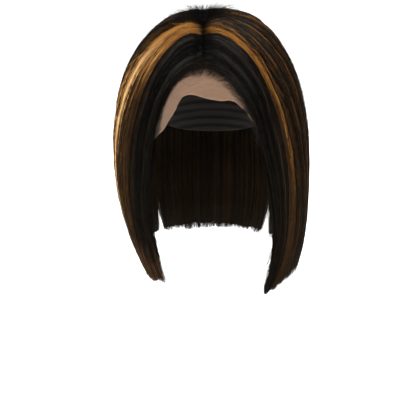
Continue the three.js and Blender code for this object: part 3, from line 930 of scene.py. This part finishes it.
def cap_shell():
    """The cap: a wall whose inside carries the tracks that the hair is sewn to."""
    degrees = np.linspace(90, 270, CAP_COLUMNS)
    angle = np.radians(degrees)
    end = slope_at(rim_height(CAP_RIM, degrees, CAP_ROUNDING))
    rows = WEFT_ROWS * WEFT_PARTS + 1
    slope = np.linspace(TOP_GAP, 1, rows)[None] * end[:, None]
    track = np.where(np.arange(rows) % WEFT_PARTS < 2, TRACK_HEIGHT, 0.0)
    inner = on_form(angle[:, None], slope, CAP_INSIDE)
    inner = inner - outward(inner.copy()) * track[None, :, None]
    outer = on_form(angle[:, None], slope[:, ::WEFT_PARTS], CAP_WALL)
    coarse = WEFT_ROWS + 1
    within = CAP_COLUMNS * rows
    verts = np.concatenate([inner.reshape(-1, 3), outer.reshape(-1, 3)])
    fine = grid_faces(CAP_COLUMNS, rows)
    broad = grid_faces(CAP_COLUMNS, coarse, within)[:, ::-1]
    # Edges: at the rim and round the crown, then along the seams, where an outer step meets four inner ones
    i = np.arange(within).reshape(CAP_COLUMNS, rows)
    o = within + np.arange(CAP_COLUMNS * coarse).reshape(CAP_COLUMNS, coarse)
    rim = np.stack([i[:-1, -1], o[:-1, -1], o[1:, -1], i[1:, -1]], -1)
    crown = np.stack([i[1:, 0], o[1:, 0], o[:-1, 0], i[:-1, 0]], -1)
    quads = np.concatenate([fine, broad, rim, crown])
    step = np.arange(coarse - 1)[:, None]
    up, down = np.arange(WEFT_PARTS + 1), np.arange(WEFT_PARTS, -1, -1)
    first = np.concatenate([o[0][step + [0, 1]], i[0][WEFT_PARTS * step + down]], 1)
    last = np.concatenate([o[-1][step + [1, 0]], i[-1][WEFT_PARTS * step + up]], 1)
    verts[:, 1] += SEAM_SHIFT
    return new_object("cap_knit", verts, [quads, np.concatenate([first, last])])


def cap_material():
    m, tree, shader = new_material("cap_knit_dark", roughness=0.85, specular=0.25, sheen=0.2)
    link = tree.links.new
    where = node(tree, "ShaderNodeTexCoord")
    rows = node(tree, "ShaderNodeTexWave", Distortion=0.6)
    rows.wave_type, rows.bands_direction = "BANDS", "Z"
    rows.inputs["Scale"].default_value = 2 * math.pi / (20 * WEFT_STEP * MM)
    rows.inputs["Detail Scale"].default_value = 2.0
    link(where.outputs["Object"], rows.inputs["Vector"])
    thread, net = (0.004, 0.0034, 0.003), (0.022, 0.018, 0.015)
    tint = ramp(tree, [(0.25, thread), (0.5, net), (0.9, net)])
    link(rows.outputs["Fac"], tint.inputs["Fac"])
    link(tint.outputs["Color"], shader.inputs["Base Color"])
    knit = node(tree, "ShaderNodeTexWave", Scale=260.0, Distortion=1.2)
    knit.wave_type, knit.bands_direction = "BANDS", "DIAGONAL"
    link(where.outputs["Object"], knit.inputs["Vector"])
    bump = node(tree, "ShaderNodeBump", Strength=0.5, Distance=0.0004)
    link(knit.outputs["Fac"], bump.inputs["Height"])
    link(bump.outputs["Normal"], shader.inputs["Normal"])
    return m


cap = cap_shell()
cap.data.materials.append(cap_material())
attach(cap, "root")
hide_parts("wig_cap")


# Stage
FLOOR_Z, FLOOR_HALF = -0.43, 60.0


def area_light(name, place, aim, size, power):
    data = bpy.data.lights.new(name, "AREA")
    data.shape, data.size, data.energy = "SQUARE", size, power
    obj = bpy.data.objects.new(name, data)
    obj.location = place
    obj.rotation_euler = (Vector(aim) - Vector(place)).to_track_quat("-Z", "Y").to_euler()
    bpy.context.scene.collection.objects.link(obj)


corners = np.array([(-1, -1, 0), (1, -1, 0), (1, 1, 0), (-1, 1, 0)]) * FLOOR_HALF / MM
floor = new_object("floor", corners, np.array([[0, 1, 2, 3]]), smooth=False)
floor.location.z = FLOOR_Z
paint, tree, shader = new_material("floor_white", roughness=0.9, specular=0.1)
shader.inputs["Base Color"].default_value = (0.96, 0.96, 0.96, 1)
shader.inputs["Emission Color"].default_value = (1, 1, 1, 1)
shader.inputs["Emission Strength"].default_value = 0.6
floor.data.materials.append(paint)

scene = bpy.context.scene
scene.view_settings.view_transform = "Standard"
world = bpy.data.worlds.new("studio")
scene.world = world
world.use_nodes = True
world.node_tree.nodes["Background"].inputs["Color"].default_value = (1, 1, 1, 1)
world.node_tree.nodes["Background"].inputs["Strength"].default_value = 0.35
area_light("key", (-0.9, -1.5, 1.1), (0, 0, -0.1), 1.0, 55)
area_light("fill", (1.1, -1.4, 0.7), (0, 0, -0.1), 1.2, 24)
area_light("top", (0.1, 0.2, 1.5), (0, 0, -0.1), 1.2, 18)

# Camera: the photograph's angle, with the middle of the cap's widest level at a pixel of the image
ELEVATION = math.radians(21)
DISTANCE = 1.5
MM_PER_PIXEL = 1.1
IMAGE = 416
CAP_PIXEL = (212.5, 107.4)
right = (IMAGE / 2 - CAP_PIXEL[0]) * MM_PER_PIXEL * MM
up = (CAP_PIXEL[1] - IMAGE / 2) * MM_PER_PIXEL * MM
up_axis = Vector((0, math.sin(ELEVATION), math.cos(ELEVATION)))
aim = Vector((right, 0, WIDEST_Z * MM)) + up * up_axis
data = bpy.data.cameras.new("camera")
data.sensor_width = 36
data.angle = 2 * math.atan(IMAGE * MM_PER_PIXEL * MM / 2 / DISTANCE)
camera = bpy.data.objects.new("camera", data)
camera.location = aim + DISTANCE * Vector((0, -math.cos(ELEVATION), math.sin(ELEVATION)))
camera.rotation_euler = (aim - camera.location).to_track_quat("-Z", "Y").to_euler()
scene.collection.objects.link(camera)
scene.camera = camera
